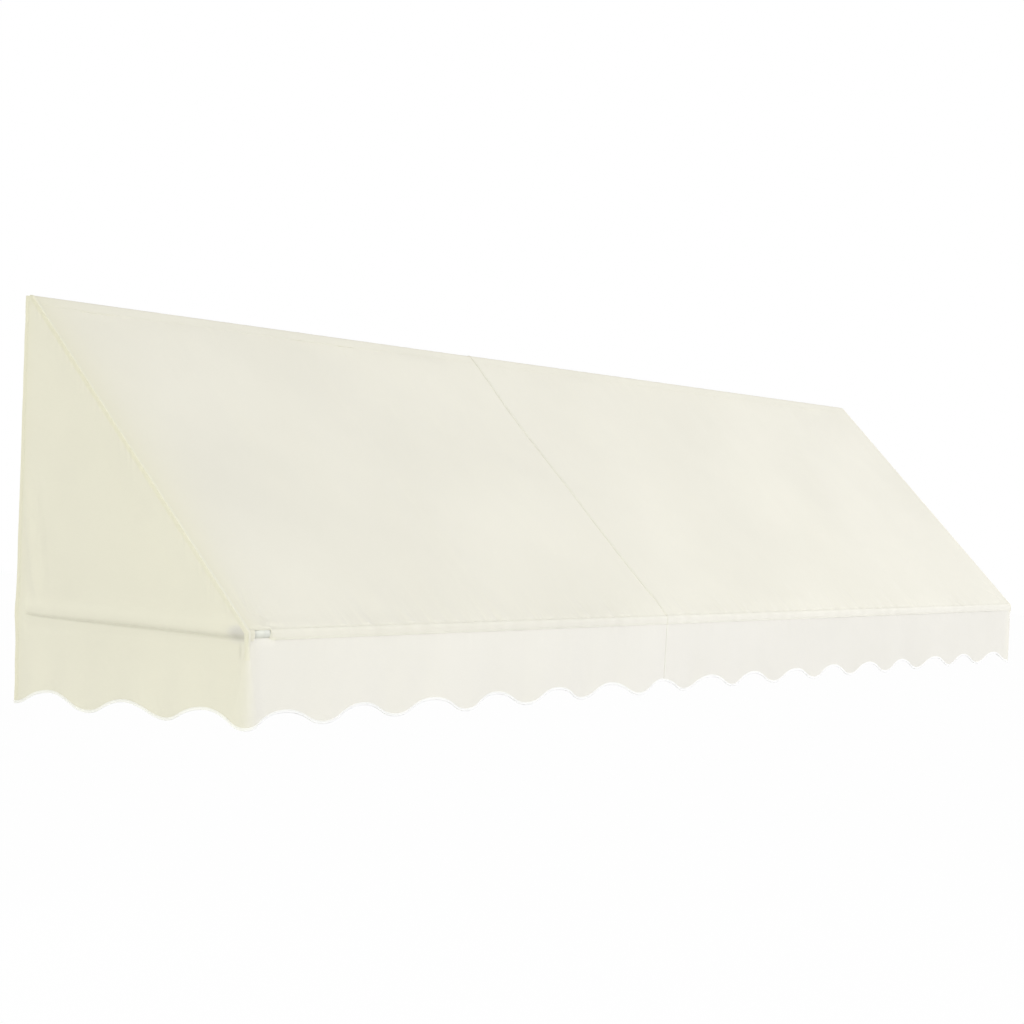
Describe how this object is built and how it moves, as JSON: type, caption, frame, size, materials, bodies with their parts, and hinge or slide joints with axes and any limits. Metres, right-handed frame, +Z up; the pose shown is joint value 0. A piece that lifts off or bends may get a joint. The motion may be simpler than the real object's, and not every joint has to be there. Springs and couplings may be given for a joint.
{
  "type": "bistro awning",
  "caption": "Fixed wall awning: cream cloth roof with closed ends and a scalloped valance, stretched over a frame of light steel tube.",
  "frame": {"origin": "on the wall, at the back face of the middle rail bracket, level with the top rail's axis", "axes": "+X along the front to the right of someone facing the wall, +Y into the wall, +Z up"},
  "size_m": [4.0046, 0.734, 0.9335],
  "materials": {
    "cloth": "cream woven polyester, matt, water-repellent",
    "tape": "white binding tape and webbing",
    "tube": "light grey powder coat on steel tube",
    "fitting": "light grey moulded plastic",
    "bracket": "light grey powder coat on steel",
    "screw": "zinc plated"
  },
  "bodies": {
    "root": {"roof_panel_left": "cloth", "roof_panel_right": "cloth", "top_sleeve_left": "cloth", "top_sleeve_right": "cloth", "front_pocket_left": "cloth", "front_pocket_right": "cloth", "valance_left": "cloth", "valance_right": "cloth", "edging_valance_left": "tape", "edging_valance_right": "tape", "wing_left": "cloth", "wing_right": "cloth", "edging_wing_left": "tape", "edging_wing_right": "tape", "side_seam_left": "cloth", "side_seam_right": "cloth", "wing_tie_left": "tape", "wing_tie_right": "tape", "top_rail_left": "tube", "top_rail_middle": "tube", "top_rail_right": "tube", "top_rail_sleeve_left": "tube", "top_rail_sleeve_right": "tube", "top_rail_cap_left": "fitting", "top_rail_cap_right": "fitting", "front_rail_left": "tube", "front_rail_middle": "tube", "front_rail_right": "tube", "front_rail_sleeve_left": "tube", "front_rail_sleeve_right": "tube", "arm_left": "tube", "arm_right": "tube", "corner_elbow_left": "fitting", "corner_elbow_right": "fitting", "elbow_screw_rail_left": "screw", "elbow_screw_rail_right": "screw", "elbow_screw_arm_left": "screw", "elbow_screw_arm_right": "screw", "rail_bracket_left": "bracket", "rail_bracket_middle": "bracket", "rail_bracket_right": "bracket", "rail_screw_left": "screw", "rail_screw_middle": "screw", "rail_screw_right": "screw", "arm_bracket_left": "bracket", "arm_bracket_right": "bracket", "arm_set_screw_left": "screw", "arm_set_screw_right": "screw"}
  },
  "joints": []
}
